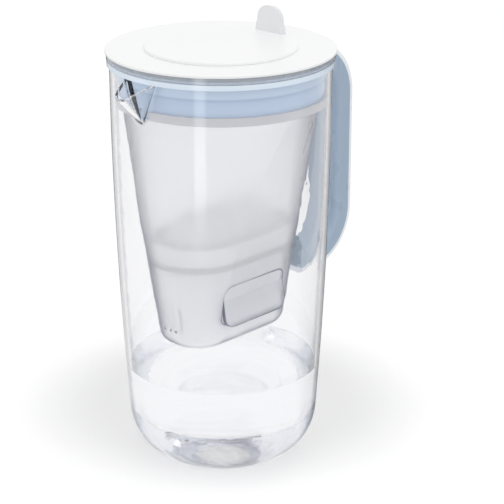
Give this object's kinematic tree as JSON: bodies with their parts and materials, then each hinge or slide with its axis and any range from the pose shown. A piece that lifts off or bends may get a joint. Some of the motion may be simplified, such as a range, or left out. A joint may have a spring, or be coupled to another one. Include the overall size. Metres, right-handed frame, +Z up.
{
  "type": "water filter pitcher",
  "caption": "Tall glass jug with a round bottom, pouring beak and side handle, a lift-out funnel with a filter cartridge, and a lift-off lid with a hinged filler cap.",
  "frame": {"origin": "middle of the flat underside of the glass jug, on the table", "axes": "+Z up along the jug's axis, +X towards the handle, -X towards the spout, -Y the funnel's panel side"},
  "size_m": [0.2069, 0.148, 0.3015],
  "materials": {
    "jug_glass": "clear blown glass, smooth inside and out",
    "blue_plastic": "light blue tinted clear plastic",
    "handle_plastic": "pale blue plastic with a soft gloss",
    "grip_plastic": "whitish plastic strip with a soft gloss",
    "seal_silicone": "soft translucent white silicone",
    "gasket_silicone": "soft grey lavender silicone",
    "clear_plastic": "clear plastic with a grey tint",
    "cartridge_plastic": "cloudy white plastic",
    "filter_fleece": "white needled fleece",
    "filter_granules": "dark and pale granules, matt",
    "screen_mesh": "fine white mesh",
    "white_plastic": "white plastic with a satin gloss",
    "ring_plastic": "clear plastic with a grey blue tint",
    "tab_plastic": "frosted clear plastic"
  },
  "bodies": {
    "jug": {"glass_jug": "jug_glass", "rim_seal": "seal_silicone", "collar": "blue_plastic", "sleeve_gasket": "gasket_silicone", "handle_arm": "handle_plastic", "handle_grip": "grip_plastic", "handle_bumper": "seal_silicone"},
    "funnel": {"funnel": "clear_plastic"},
    "cartridge": {"cartridge_cup": "cartridge_plastic", "cartridge_seal": "seal_silicone", "outlet_fleece": "filter_fleece", "filter_media": "filter_granules", "inlet_fleece": "filter_fleece", "cartridge_cap": "cartridge_plastic", "inlet_screen": "screen_mesh"},
    "lid": {"lid_plate": "white_plastic", "lid_ring": "ring_plastic", "hinge_pin": "white_plastic"},
    "filler_cap": {"flip_cap": "white_plastic", "thumb_tab": "tab_plastic"}
  },
  "joints": [
    {"name": "funnel_lift", "type": "slide", "parent": "jug", "child": "funnel", "axis": [0, 0, 1], "range_m": [0, 0.19]},
    {"name": "cartridge_lift", "type": "slide", "parent": "funnel", "child": "cartridge", "axis": [0, 0, 1], "range_m": [0, 0.07]},
    {"name": "lid_lift", "type": "slide", "parent": "funnel", "child": "lid", "axis": [0, 0, 1], "range_m": [0, 0.06]},
    {"name": "cap_flip", "type": "hinge", "parent": "lid", "child": "filler_cap", "pos_m": [0.0527, 0, 0.2852], "axis": [0, 1, 0], "range_deg": [0, 85]}
  ]
}
